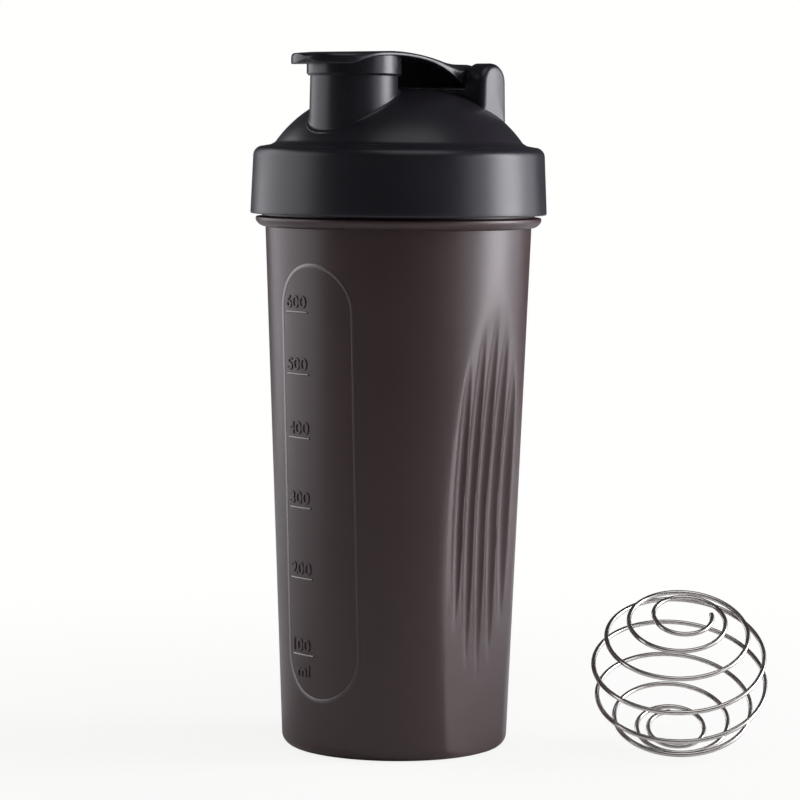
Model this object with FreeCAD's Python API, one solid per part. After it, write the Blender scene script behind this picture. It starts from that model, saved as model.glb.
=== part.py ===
import FreeCAD, Part
import math
import os

# A protein shaker bottle with a wire whisk ball standing beside it. Millimetres, +Z up.
# The origin is on the bottle's axis at the surface it stands on. The drinking spout and the
# measuring scale face -Y, the flip cap's hinge is on the +Y side, and the grips are on +X and -X.

# ---- driving dimensions: cup ----
CUP_BASE_R = 36.6          # outside radius at the floor
CUP_TAPER = 0.0385         # growth of the radius per mm of height
CUP_WALL = 1.5
CUP_FLOOR = 2.0
FOOT_RECESS = 2.5          # the underside is raised inside the foot ring
FOOT_RING_R = 28.5         # inside radius of the foot ring
FOOT_ROUND = 4.0
INSIDE_ROUND = 3.0
BEAD_LOW_Z = 169.0
BEAD_BULGE = (45.2, 169.8)     # a point of the bead's round underside, as (radius, height)
BEAD_SIDE_Z = 171.3            # the bead's side is upright from here
BEAD_TOP_Z = 172.4
BEAD_R = 46.3
BEAD_EDGE = 0.5
NECK_R = 44.2
NECK_TOP_Z = 190.3

# ---- grips: a facet on each side that flares out towards its top, with upright grooves ----
GRIP_X = 34.0              # the facet's distance from the axis up to GRIP_LOW_Z
GRIP_LOW_Z = 10.0
GRIP_TOP_X = 42.2          # and at GRIP_TOP_Z, where it runs out into the cup's side
GRIP_TOP_Z = 145.8
GRIP_FLARE = 2.35          # power of the curve between them
GRIP_END_Z = 152.0         # the cutting tool ends here, clear of the cup
GRIP_CURVE_STEPS = 8
GROOVE_PITCH = 5.8
GROOVES_EACH_SIDE = 2      # on either side of the middle groove
GROOVE_SECTION_R = 3.0
GROOVE_DEPTH = 1.5
GROOVE_MID_Z = 84.5
GROOVE_HALF_LENGTH = 57.5  # of the middle groove
GROOVE_LENS_Y = 17.5       # the groove ends lie on an ellipse with this half width
GROOVE_RUN_ON = 1.6        # the tool turns this much further than the groove's own end

# ---- raised measuring scale ----
MARK_RISE = 0.35
MARK_HEIGHT = 0.8
MARK_HALF_SPAN = (2.0, 12.4)   # across the panel, from its middle line towards -X
MARK_Z = (32.5, 57.3, 80.1, 102.5, 122.9, 142.7)   # 100 ml to 600 ml
PANEL_HALF_WIDTH = 15.5
PANEL_Z = (17.8, 158.2)
PANEL_EDGE = 0.9

# ---- screw thread between the neck and the lid ----
THREAD_PITCH = 5.0
THREAD_TURNS = 1.5
THREAD_DEPTH = 1.2
THREAD_ROOT = 2.4          # axial width where the ridge meets its wall
THREAD_CREST = 1.2
THREAD_START_Z = 177.7     # middle of the neck ridge where it starts
THREAD_LID_DROP = 2.0      # the lid's ridge runs this far under the neck's, with 0.3 mm between flanks
THREAD_SINK = 0.4          # the ridges run this far into their walls

# ---- lid ----
LID_LOW_Z = 173.3
LID_LOW_R = 48.0
LID_SHOULDER_Z = 191.7
LID_SHOULDER_R = 47.2
LID_TOP_R = 44.0
LID_CORNER_R = 3.2
LID_CORNER_Z = 191.9       # centre of the top corner's round
LID_BORE_R = 45.8
LID_CEILING_Z = 192.8
DOME_FOOT = (40.45, 195.7)
DOME_CENTRE = (6.5, 172.8)     # centre of the dome's arc; inside that radius the crown is flat
DOME_R = 41.0
LID_WALL = 2.0
LIP_R = (40.0, 41.5)       # the ring that reaches down into the cup's mouth
LIP_LOW_Z = 188.6
SEAL_R = (41.8, 45.4)
SEAL_Z = (190.6, 192.5)

# ---- spout ----
SPOUT_Y = -22.6
SPOUT_BASE_R = 14.35
SPOUT_TOP_R = 13.9
SPOUT_BORE_R = 11.75
SPOUT_LOW_Z = 198.0
SPOUT_TOP_Z = 220.5

# ---- hinge between the lid's ears and the flip cap ----
PIVOT_Y = 16.6
PIVOT_Z = 215.8
EAR_R = 6.3
EAR_X = (18.8, 26.3)
EAR_LOW_Z = 198.0
EAR_ROUND = 2.2
CRADLE_LOW_Z = 205.0
CRADLE_TOP = ((11.5, 213.7), (15.6, 212.75))   # the rib under the cap's barrel: its sloping top as (y, z)
TRUNNION_R = 2.0
TRUNNION_END_X = 21.2
SOCKET_CLEARANCE = 0.06
SOCKET_END_X = 21.6

# ---- flip cap: side outline as (y, z) points ----
CAP_TOP_LINE = ((-46.2, 224.2), (-40.0, 224.4), (-32.0, 224.8), (-20.0, 225.3), (-12.0, 224.7), (-6.8, 224.0),
                (-1.8, 223.1), (3.3, 222.1), (8.0, 221.75), (16.6, 221.7))
CAP_UNDER_LINE = ((-46.2, 221.4), (-42.0, 221.0), (-38.0, 221.0), (-34.5, 222.2), (-31.0, 223.2),
                  (-24.0, 223.75), (-16.0, 223.6), (-9.0, 222.85), (-2.6, 221.4), (4.0, 218.7), (8.5, 216.1),
                  (11.0, 214.3))
CAP_BARREL_R = 2.8
CAP_BACK_POINT = (18.8, 218.8)
CAP_HALF_WIDTH_BACK = 18.5
CAP_HALF_WIDTH_ARM = 18.1
CAP_HALF_WIDTH_SPOUT = 16.0
CAP_ARM_Y = 5.0
CAP_SPOUT_Y = -24.0
CAP_TIP_Y = -45.4
CAP_SHOULDER = (14.4, -32.0)   # where the thumb tab's round front begins
CAP_TAB_CORNER = (8.4, -42.1)
SKIRT_R = (14.3, 15.1)
SKIRT_LOW_Z = 217.5
SKIRT_BEVEL = (0.5, 0.7)       # of its lower outer edge: inwards and upwards
PLUG_OUTER_R = (11.0, 11.35)   # at its lower edge and at the plate
PLUG_INNER_R = 9.8
PLUG_LOW_Z = 216.9
CAP_PLATE_Z = 223.85           # the rings run up to here inside the plate

# ---- whisk ball ----
WIRE_R = 0.75
BALL_R = 28.1              # radius at the ball's waist, measured to the wire's middle
BALL_CENTRE_XY = (80.4, 47.4)
BALL_LEAN = 28.5           # degrees its axis leans from upright
BALL_LEAN_TOWARDS = -50.0  # compass direction of the lean, degrees from +X towards +Y
BALL_START = 50.0          # compass direction in which the wire starts, before the ball leans
BALL_TOP_LOOP = 1          # half turns of the small loop at the top
BALL_SPIRAL = 13           # half turns of the spiral from there to the small loop at the bottom
BALL_QUARTER_TURNS = 31    # of the whole wire
BALL_END_ANGLE = 19.0      # polar angle, in degrees, of the two small loops
BALL_CROWDING = 0.2        # how much closer the turns lie at the ends than at the middle
BALL_FLATNESS = 0.93       # height of the ball against its width
BALL_END_PRESS = 0.09      # how much further its two ends are pressed in

OVERLAP = 1.0              # tools and joined pieces run this far past a face
FAR = 120.0


def cup_radius(z):
    return CUP_BASE_R + CUP_TAPER * z


def solid_of_revolution(start, steps):
    """Revolve a closed outline of (radius, height) points about Z.
    A step is the end point of a straight run, or (point on the way, end point) for an arc."""
    edges = []
    here = FreeCAD.Vector(start[0], 0, start[1])
    for step in steps:
        if isinstance(step[0], tuple):
            through = FreeCAD.Vector(step[0][0], 0, step[0][1])
            there = FreeCAD.Vector(step[1][0], 0, step[1][1])
            edges.append(Part.Arc(here, through, there).toShape())
        else:
            there = FreeCAD.Vector(step[0], 0, step[1])
            edges.append(Part.makeLine(here, there))
        here = there
    edges.append(Part.makeLine(here, FreeCAD.Vector(start[0], 0, start[1])))
    face = Part.Face(Part.Wire(edges))
    return face.revolve(FreeCAD.Vector(0, 0, 0), FreeCAD.Vector(0, 0, 1), 360)


def ring(outer_low, outer_top, inner, low_z, top_z, y):
    """A round tube on an upright axis through (0, y), its outside tapering."""
    height = top_z - low_z
    place = FreeCAD.Vector(0, y, low_z)
    if outer_low == outer_top:
        tube = Part.makeCylinder(outer_low, height, place)
    else:
        tube = Part.makeCone(outer_low, outer_top, height, place)
    if inner is None:
        return tube
    return tube.cut(Part.makeCylinder(inner, height, place))


def corner_arc(corner, radius, start_angle, end_angle):
    """The middle and end points of a round corner about its centre, angles in degrees."""
    points = []
    for angle in ((start_angle + end_angle) / 2, end_angle):
        turn = math.radians(angle)
        points.append((corner[0] + radius * math.cos(turn), corner[1] + radius * math.sin(turn)))
    return tuple(points)


# ---- cup ----
def cup_outside(grow=0.0):
    """The plain tapered outside, without grips, up to the top of the neck."""
    foot_r = cup_radius(FOOT_ROUND) - FOOT_ROUND + grow
    under_bead = (cup_radius(BEAD_LOW_Z) + grow, BEAD_LOW_Z)
    return solid_of_revolution((0, 0), [
        (foot_r, 0),
        corner_arc((foot_r, FOOT_ROUND), FOOT_ROUND, -90, 0),
        under_bead,
        (BEAD_BULGE, (BEAD_R, BEAD_SIDE_Z)),
        (BEAD_R, BEAD_TOP_Z - BEAD_EDGE),
        (BEAD_R - BEAD_EDGE, BEAD_TOP_Z),
        (NECK_R, BEAD_TOP_Z),
        (NECK_R, NECK_TOP_Z),
        (0, NECK_TOP_Z),
    ])


def cup_cavity():
    """The plain tapered inside, open at the mouth."""
    floor_z = FOOT_RECESS + CUP_FLOOR
    corner_z = floor_z + INSIDE_ROUND
    corner_r = cup_radius(corner_z) - CUP_WALL - INSIDE_ROUND
    mouth_z = NECK_TOP_Z + OVERLAP
    return solid_of_revolution((0, floor_z), [
        (corner_r, floor_z),
        corner_arc((corner_r, corner_z), INSIDE_ROUND, -90, 0),
        (cup_radius(mouth_z) - CUP_WALL, mouth_z),
        (0, mouth_z),
    ])


def facet_x(z):
    """How far the +X grip's facet lies from the axis at this height."""
    share = max(z - GRIP_LOW_Z, 0.0) / (GRIP_TOP_Z - GRIP_LOW_Z)
    return GRIP_X + (GRIP_TOP_X - GRIP_X) * share ** GRIP_FLARE


def facet_tool(inset):
    """The block outside the +X grip's facet, moved inset deeper into the cup."""
    flare = []
    for i in range(GRIP_CURVE_STEPS + 1):
        z = GRIP_LOW_Z + (GRIP_END_Z - GRIP_LOW_Z) * i / GRIP_CURVE_STEPS
        flare.append(FreeCAD.Vector(facet_x(z) - inset, -FAR / 2, z))
    curve = Part.BSplineCurve()
    curve.interpolate(flare)
    low = FreeCAD.Vector(GRIP_X - inset, -FAR / 2, -OVERLAP)
    outer_low = FreeCAD.Vector(FAR, -FAR / 2, -OVERLAP)
    outer_high = FreeCAD.Vector(FAR, -FAR / 2, GRIP_END_Z)
    outline = Part.Wire([
        Part.makeLine(low, flare[0]),
        curve.toShape(),
        Part.makeLine(flare[-1], outer_high),
        Part.makeLine(outer_high, outer_low),
        Part.makeLine(outer_low, low),
    ])
    return Part.Face(outline).extrude(FreeCAD.Vector(0, FAR, 0))


def groove_tool(y, inset):
    """A slender ring segment that cuts one upright groove and fades out at both ends."""
    half_length = GROOVE_HALF_LENGTH * math.sqrt(1 - (y / GROOVE_LENS_Y) ** 2)
    low_z, high_z = GROOVE_MID_Z - half_length, GROOVE_MID_Z + half_length
    low_end = FreeCAD.Vector(facet_x(low_z), y, low_z)
    high_end = FreeCAD.Vector(facet_x(high_z), y, high_z)
    deepest = FreeCAD.Vector(facet_x(GROOVE_MID_Z) - GROOVE_DEPTH, y, GROOVE_MID_Z)
    bed = Part.Circle(low_end, deepest, high_end)
    inward = (deepest - bed.Center).normalize()
    middle = bed.Center + inward * (bed.Radius - GROOVE_SECTION_R)
    axis = FreeCAD.Vector(0, 1, 0)
    section = Part.Face(Part.Wire(Part.makeCircle(GROOVE_SECTION_R + inset, middle, axis.cross(inward))))
    half_turn = math.degrees(half_length / bed.Radius) * GROOVE_RUN_ON
    section.rotate(bed.Center, axis, -half_turn)
    return section.revolve(bed.Center, axis, 2 * half_turn)


def grip_tools(inset):
    """Everything that shapes the two grips, for the outside (inset 0) or the inside (inset = wall)."""
    tools = [facet_tool(inset)]
    for i in range(-GROOVES_EACH_SIDE, GROOVES_EACH_SIDE + 1):
        tools.append(groove_tool(i * GROOVE_PITCH, inset))
    mirrored = [t.mirror(FreeCAD.Vector(0, 0, 0), FreeCAD.Vector(1, 0, 0)) for t in tools]
    return tools + mirrored


def stadium(half_width, low_z, high_z):
    """An upright stadium plate through the -Y side of the cup."""
    tall = high_z - low_z - 2 * half_width
    place = FreeCAD.Vector(-half_width, -FAR, low_z + half_width)
    body = Part.makeBox(2 * half_width, FAR, tall, place)
    for z in (low_z + half_width, high_z - half_width):
        place = FreeCAD.Vector(0, -FAR, z)
        body = body.fuse(Part.makeCylinder(half_width, FAR, place, FreeCAD.Vector(0, 1, 0)))
    return body


def scale_marks(cup_skin):
    """The raised edge of the scale panel and one raised line for each 100 ml."""
    outer = stadium(PANEL_HALF_WIDTH, *PANEL_Z)
    inner = stadium(PANEL_HALF_WIDTH - PANEL_EDGE, PANEL_Z[0] + PANEL_EDGE, PANEL_Z[1] - PANEL_EDGE)
    marks = [cup_skin.common(outer.cut(inner))]
    near, far = MARK_HALF_SPAN
    for z in MARK_Z:
        bar = Part.makeBox(far - near, FAR, MARK_HEIGHT, FreeCAD.Vector(-far, -FAR, z - MARK_HEIGHT / 2))
        marks.append(cup_skin.common(bar))
    return marks


def thread_ridge(root_r, outward, start_z):
    """One helical ridge. outward is +1 on the neck and -1 inside the lid."""
    helix = Part.makeLongHelix(THREAD_PITCH, THREAD_PITCH * THREAD_TURNS, root_r)
    sunk = root_r - outward * THREAD_SINK
    crest = root_r + outward * THREAD_DEPTH
    sunk_half = THREAD_ROOT / 2 + THREAD_SINK * (THREAD_ROOT - THREAD_CREST) / (2 * THREAD_DEPTH)
    corners = [(sunk, -sunk_half), (crest, -THREAD_CREST / 2), (crest, THREAD_CREST / 2), (sunk, sunk_half)]
    points = [FreeCAD.Vector(r, 0, z) for r, z in corners]
    section = Part.makePolygon(points + points[:1])
    ridge = Part.Wire(helix.Edges).makePipeShell([section], True, True)
    ridge.translate(FreeCAD.Vector(0, 0, start_z))
    return ridge


def make_cup():
    outside = cup_outside()
    raised = cup_outside(MARK_RISE)
    for tool in grip_tools(0.0):
        outside = outside.cut(tool)
    cavity = cup_cavity()
    for tool in grip_tools(CUP_WALL):
        cavity = cavity.cut(tool)
    recess = Part.makeCylinder(FOOT_RING_R, FOOT_RECESS)
    panel_zone = Part.makeBox(FAR, FAR, PANEL_Z[1], FreeCAD.Vector(-FAR / 2, -FAR, 0))
    skin = raised.common(panel_zone).cut(cavity)
    cup = outside.cut(cavity).cut(recess)
    for mark in scale_marks(skin):
        cup = cup.fuse(mark)
    cup = cup.fuse(thread_ridge(NECK_R, 1, THREAD_START_Z))
    return cup.removeSplitter()


# ---- lid ----
def lid_shell():
    """The solid outside of collar and dome."""
    return solid_of_revolution((0, LID_LOW_Z), [
        (LID_LOW_R, LID_LOW_Z),
        (LID_SHOULDER_R, LID_SHOULDER_Z),
        (LID_TOP_R + LID_CORNER_R, LID_CORNER_Z),
        corner_arc((LID_TOP_R, LID_CORNER_Z), LID_CORNER_R, 0, 90),
        DOME_FOOT,
        dome_arc(DOME_R, DOME_FOOT[1]),
        (0, DOME_CENTRE[1] + DOME_R),
    ])


def dome_arc(radius, from_z):
    """Middle and end points of the dome's arc, from the height from_z up to its flat crown."""
    centre_r, centre_z = DOME_CENTRE
    start = math.asin((from_z - centre_z) / radius)
    middle = (start + math.pi / 2) / 2
    return ((centre_r + radius * math.cos(middle), centre_z + radius * math.sin(middle)),
            (centre_r, centre_z + radius))


def lid_cavity():
    centre_r, centre_z = DOME_CENTRE
    inner_r = DOME_R - LID_WALL
    dome_edge = centre_r + math.sqrt(inner_r ** 2 - (LID_CEILING_Z - centre_z) ** 2)
    low_z = LID_LOW_Z - OVERLAP
    return solid_of_revolution((0, low_z), [
        (LID_BORE_R, low_z),
        (LID_BORE_R, LID_CEILING_Z),
        (dome_edge, LID_CEILING_Z),
        dome_arc(inner_r, LID_CEILING_Z),
        (0, centre_z + inner_r),
    ])


def ear(side):
    """One hinge ear: a slab with a round top, its outer edges rounded."""
    inner_x, outer_x = EAR_X
    front_y, back_y = PIVOT_Y - EAR_R, PIVOT_Y + EAR_R
    points = [(front_y, EAR_LOW_Z), (front_y, PIVOT_Z), (PIVOT_Y, PIVOT_Z + EAR_R), (back_y, PIVOT_Z),
              (back_y, EAR_LOW_Z)]
    base = [FreeCAD.Vector(inner_x, y, z) for y, z in points]
    outline = Part.Wire([
        Part.makeLine(base[0], base[1]),
        Part.Arc(base[1], base[2], base[3]).toShape(),
        Part.makeLine(base[3], base[4]),
        Part.makeLine(base[4], base[0]),
    ])
    slab = Part.Face(outline).extrude(FreeCAD.Vector(outer_x - inner_x, 0, 0))
    rims = [e for e in slab.Edges
            if abs(e.CenterOfMass.x - outer_x) < 0.01 and e.BoundBox.ZMax > EAR_LOW_Z + OVERLAP]
    slab = slab.makeFillet(EAR_ROUND, rims)
    if side < 0:
        slab = slab.mirror(FreeCAD.Vector(0, 0, 0), FreeCAD.Vector(1, 0, 0))
    return slab


def rod_along_x(radius, from_x, to_x):
    place = FreeCAD.Vector(min(from_x, to_x), PIVOT_Y, PIVOT_Z)
    return Part.makeCylinder(radius, abs(to_x - from_x), place, FreeCAD.Vector(1, 0, 0))


def cradle():
    """A rib across the dome between the two ears, under the cap's barrel."""
    (front_y, front_z), (back_y, back_z) = CRADLE_TOP
    start_x = -EAR_X[0] - OVERLAP
    corners = [FreeCAD.Vector(start_x, front_y, CRADLE_LOW_Z), FreeCAD.Vector(start_x, front_y, front_z),
               FreeCAD.Vector(start_x, back_y, back_z), FreeCAD.Vector(start_x, back_y, CRADLE_LOW_Z)]
    outline = Part.Face(Part.makePolygon(corners + corners[:1]))
    return outline.extrude(FreeCAD.Vector(-2 * start_x, 0, 0))


def make_lid():
    lid = lid_shell()
    lid = lid.fuse(ring(SPOUT_BASE_R, SPOUT_TOP_R, None, SPOUT_LOW_Z, SPOUT_TOP_Z, SPOUT_Y))
    lid = lid.fuse(cradle())
    for side in (1, -1):
        lid = lid.fuse(ear(side))
    lid = lid.cut(lid_cavity())
    lid = lid.cut(ring(SPOUT_BORE_R, SPOUT_BORE_R, None, LID_CEILING_Z, SPOUT_TOP_Z + OVERLAP, SPOUT_Y))
    for side in (1, -1):
        from_x = side * (EAR_X[0] - OVERLAP)
        lid = lid.cut(rod_along_x(TRUNNION_R + SOCKET_CLEARANCE, from_x, side * SOCKET_END_X))
    lid = lid.fuse(ring(LIP_R[1], LIP_R[1], LIP_R[0], LIP_LOW_Z, LID_CEILING_Z + OVERLAP, 0))
    lid = lid.fuse(thread_ridge(LID_BORE_R, -1, THREAD_START_Z - THREAD_LID_DROP))
    return lid.removeSplitter()


def make_seal():
    return ring(SEAL_R[1], SEAL_R[1], SEAL_R[0], SEAL_Z[0], SEAL_Z[1], 0)


# ---- flip cap ----
def line_through(points):
    """A smooth curve in the YZ plane through (y, z) points."""
    curve = Part.BSplineCurve()
    curve.interpolate([FreeCAD.Vector(0, y, z) for y, z in points])
    return curve.toShape()


def cap_side():
    """The side outline of plate, arm and hinge barrel, as a thick slab across X."""
    pivot = FreeCAD.Vector(0, PIVOT_Y, PIVOT_Z)
    tip_top = FreeCAD.Vector(0, *CAP_TOP_LINE[0])
    tip_under = FreeCAD.Vector(0, *CAP_UNDER_LINE[0])
    barrel_top = FreeCAD.Vector(0, *CAP_TOP_LINE[-1])
    back = FreeCAD.Vector(0, *CAP_BACK_POINT)
    barrel_back = pivot + FreeCAD.Vector(0, CAP_BARREL_R, 0)
    barrel_low = pivot + FreeCAD.Vector(0, 0, -CAP_BARREL_R)
    between = math.sqrt(0.5) * CAP_BARREL_R
    barrel_mid = pivot + FreeCAD.Vector(0, between, -between)
    arm_low = FreeCAD.Vector(0, *CAP_UNDER_LINE[-1])
    outline = Part.Wire([
        line_through(CAP_TOP_LINE),
        Part.Arc(barrel_top, back, barrel_back).toShape(),
        Part.Arc(barrel_back, barrel_mid, barrel_low).toShape(),
        Part.makeLine(barrel_low, arm_low),
        line_through(CAP_UNDER_LINE),
        Part.makeLine(tip_under, tip_top),
    ])
    slab = Part.Face(outline).extrude(FreeCAD.Vector(2 * CAP_HALF_WIDTH_BACK, 0, 0))
    slab.translate(FreeCAD.Vector(-CAP_HALF_WIDTH_BACK, 0, 0))
    return slab


def cap_plan():
    """The outline seen from above: two long sides and a round thumb tab."""
    low_z = PIVOT_Z - CAP_BARREL_R - OVERLAP
    high_z = max(z for _, z in CAP_TOP_LINE) + OVERLAP
    back_y = PIVOT_Y + CAP_BARREL_R + OVERLAP
    side = [(CAP_HALF_WIDTH_BACK, back_y), (CAP_HALF_WIDTH_BACK, PIVOT_Y), (CAP_HALF_WIDTH_ARM, CAP_ARM_Y),
            (CAP_HALF_WIDTH_SPOUT, CAP_SPOUT_Y)]
    right = [FreeCAD.Vector(x, y, low_z) for x, y in side]
    left = [FreeCAD.Vector(-p.x, p.y, p.z) for p in right]
    shoulder = [FreeCAD.Vector(s * CAP_SHOULDER[0], CAP_SHOULDER[1], low_z) for s in (1, -1)]
    corner = [FreeCAD.Vector(s * CAP_TAB_CORNER[0], CAP_TAB_CORNER[1], low_z) for s in (1, -1)]
    tip = FreeCAD.Vector(0, CAP_TIP_Y, low_z)
    front = Part.BSplineCurve()
    front.interpolate([right[3], shoulder[0], corner[0], tip, corner[1], shoulder[1], left[3]])
    edges = [Part.makeLine(a, b) for a, b in zip(right, right[1:])]
    edges.append(front.toShape())
    edges += [Part.makeLine(b, a) for a, b in zip(left, left[1:])][::-1]
    edges.append(Part.makeLine(left[0], right[0]))
    return Part.Face(Part.Wire(edges)).extrude(FreeCAD.Vector(0, 0, high_z - low_z))


def make_flip_cap():
    cap = cap_side().common(cap_plan())
    inwards, upwards = SKIRT_BEVEL
    bevel_z = SKIRT_LOW_Z + upwards
    cap = cap.fuse(ring(SKIRT_R[1], SKIRT_R[1], SKIRT_R[0], bevel_z, CAP_PLATE_Z, SPOUT_Y))
    cap = cap.fuse(ring(SKIRT_R[1] - inwards, SKIRT_R[1], SKIRT_R[0], SKIRT_LOW_Z, bevel_z, SPOUT_Y))
    cap = cap.fuse(ring(PLUG_OUTER_R[0], PLUG_OUTER_R[1], PLUG_INNER_R, PLUG_LOW_Z, CAP_PLATE_Z, SPOUT_Y))
    for side in (1, -1):
        cap = cap.fuse(rod_along_x(TRUNNION_R, side * (CAP_HALF_WIDTH_BACK - OVERLAP), side * TRUNNION_END_X))
    return cap.removeSplitter()


# ---- whisk ball ----
def wire_joint(half_turn):
    """Where the wire crosses the ball's own X axis, after this many half turns from the top."""
    t = min(max(half_turn - BALL_TOP_LOOP, 0) / BALL_SPIRAL, 1.0)
    eased = t - BALL_CROWDING * math.sin(2 * math.pi * t) / (2 * math.pi)
    polar = math.radians(BALL_END_ANGLE + (180 - 2 * BALL_END_ANGLE) * eased)
    side = 1 if half_turn % 2 == 0 else -1
    rise = math.cos(polar)
    height = rise * (BALL_FLATNESS - BALL_END_PRESS * abs(rise) ** 3)
    return FreeCAD.Vector(side * BALL_R * math.sin(polar), 0, BALL_R * height)


def make_whisk_ball():
    """One wire wound as a right-handed spiral, as quarter turns that meet end to end."""
    arcs = []
    for step in range(BALL_QUARTER_TURNS):
        half_turn, second = divmod(step, 2)
        start, end = wire_joint(half_turn), wire_joint(half_turn + 1)
        centre = (start + end) / 2
        across = (start - centre).normalize()
        heading = FreeCAD.Vector(0, -1 if half_turn % 2 == 0 else 1, 0)
        axis = across.cross(heading)
        section = Part.Face(Part.Wire(Part.makeCircle(WIRE_R, start, heading)))
        section.rotate(centre, axis, 90 * second)
        arcs.append(section.revolve(centre, axis, 90))
    ball = arcs[0].multiFuse(arcs[1:]).removeSplitter()
    ball.rotate(FreeCAD.Vector(0, 0, 0), FreeCAD.Vector(0, 0, 1), BALL_START)
    lean = math.radians(BALL_LEAN_TOWARDS)
    lean_axis = FreeCAD.Vector(-math.sin(lean), math.cos(lean), 0)
    ball.rotate(FreeCAD.Vector(0, 0, 0), lean_axis, BALL_LEAN)
    seat = -ball.optimalBoundingBox().ZMin
    ball.translate(FreeCAD.Vector(BALL_CENTRE_XY[0], BALL_CENTRE_XY[1], seat))
    return ball


os.makedirs("parts", exist_ok=True)
pieces = {
    "cup": make_cup(),
    "lid": make_lid(),
    "lid_seal": make_seal(),
    "flip_cap": make_flip_cap(),
    "whisk_ball": make_whisk_ball(),
}
for name, shape in pieces.items():
    shape.exportStep("parts/" + name + ".step")
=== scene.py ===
import math

import bpy
import numpy as np
from mathutils import Matrix, Vector


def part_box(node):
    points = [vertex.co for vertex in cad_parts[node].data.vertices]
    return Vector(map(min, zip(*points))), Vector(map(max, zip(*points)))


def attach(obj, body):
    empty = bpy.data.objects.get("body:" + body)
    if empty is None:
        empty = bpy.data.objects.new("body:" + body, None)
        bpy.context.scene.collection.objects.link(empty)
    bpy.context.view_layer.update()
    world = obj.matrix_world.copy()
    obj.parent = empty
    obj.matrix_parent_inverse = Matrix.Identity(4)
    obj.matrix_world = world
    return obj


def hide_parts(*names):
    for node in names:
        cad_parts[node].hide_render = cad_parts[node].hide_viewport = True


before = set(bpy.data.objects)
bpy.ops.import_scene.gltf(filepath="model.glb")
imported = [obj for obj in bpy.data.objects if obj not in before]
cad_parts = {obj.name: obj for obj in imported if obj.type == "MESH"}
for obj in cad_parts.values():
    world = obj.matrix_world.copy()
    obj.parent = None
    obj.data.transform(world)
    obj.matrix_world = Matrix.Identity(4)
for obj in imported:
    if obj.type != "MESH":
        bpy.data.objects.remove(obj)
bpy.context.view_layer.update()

# Lengths below are millimetres in the bottle's own frame: +Z up, -Y the spout and the measuring
# scale, +Y the flip cap's hinge, +X and -X the grips. Meshes are scaled to metres when they are made.
MM = 0.001


def corners(node):
    low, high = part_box(node)
    return low / MM, high / MM


cup_low, cup_high = corners("cup")
lid_low, lid_high = corners("lid")
seal_low, seal_high = corners("lid_seal")
cap_low, cap_high = corners("flip_cap")
ball_low, ball_high = corners("whisk_ball")

# ---- cup ----
CUP_BASE_R = 36.6
CUP_TAPER = 0.0385
CUP_WALL = 1.5
FOOT_RECESS = 2.5
CUP_FLOOR_Z = 4.5
FOOT_RING_R = 28.5
FOOT_ROUND = 4.0
INSIDE_ROUND = 3.0
BEAD_R = cup_high.x
BEAD_LOW_Z = 169.0
BEAD_UNDERSIDE = ((44.3, 169.3), (45.2, 169.8), (45.95, 170.6))
BEAD_SIDE_Z = 171.3
BEAD_TOP_Z = 172.4
BEAD_EDGE = 0.5
NECK_R = 44.2
NECK_TOP_Z = cup_high.z
NECK_FOOT_ROUND = 0.4
NECK_STEP = 0.36
RIM_ROUND = 0.5
FOOT_RING_EDGE = 0.6
RECESS_ROUND = 1.2
FLAT_SHARES = (0.05, 0.35, 0.65, 0.9)     # rings that divide a flat round face
WALL_ROWS = 100
INSIDE_ROWS = 80

# ---- grips ----
GRIP_X = 34.0
GRIP_LOW_Z = 10.0
GRIP_TOP_X = 42.2
GRIP_TOP_Z = 145.8
GRIP_FLARE = 2.35
GRIP_EDGE_SOFTNESS = 0.5
GRIP_HALF_ANGLE = 25.0     # the grips lie within this many degrees of the X axis
GRIP_COLUMN_STEP = 0.5
PLAIN_COLUMN_STEP = 2.6
GROOVE_PITCH = 5.8
GROOVES_EACH_SIDE = 2
GROOVE_SECTION_R = 3.0
GROOVE_DEPTH = 1.5
GROOVE_MID_Z = 84.5
GROOVE_HALF_LENGTH = 57.5
GROOVE_LENS_Y = 17.5
GROOVE_SOFTNESS = 0.12
GROOVE_ONSET = 0.4         # the grooves fade in over this depth of facet

# ---- measuring scale ----
MARK_RISE = 0.33
MARK_WIDTH = 0.75
PANEL_EDGE_RISE = 0.12
PANEL_EDGE_WIDTH = 1.2
MARK_SPAN = (-12.4, -2.0)
MARK_Z = {100: 32.5, 200: 57.3, 300: 80.1, 400: 102.5, 500: 122.9, 600: 142.7}
PANEL_HALF_WIDTH = 15.5
PANEL_Z = (17.8, 158.2)
DIGIT_HEIGHT = 3.9
DIGIT_STRETCH = 1.22
DIGIT_RISE = 0.3
DIGIT_GAP = 1.3
DIGIT_BEVEL = 0.08
DIGIT_SINK = 0.05
FONT_CAPITAL_SHARE = 0.7   # height of a figure against the font's size
UNIT_PLACE = (2.2, -7.0)   # "ml" from the start of the 100 line, across and up
STRIP_SECTION = ((-0.5, -0.15), (-0.5, 0.3), (-0.32, 0.8), (0.0, 1.0), (0.32, 0.8), (0.5, 0.3),
                 (0.5, -0.15))     # across and up, as shares of a strip's width and rise

# ---- screw thread ----
THREAD_PITCH = 5.0
THREAD_TURNS = 1.5
THREAD_DEPTH = 1.2
THREAD_CREST_HALF = 0.6
THREAD_ROOT_HALF = 1.2
THREAD_START_Z = 177.7
THREAD_FADE = 0.04
LID_THREAD_DROP = 2.0

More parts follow.
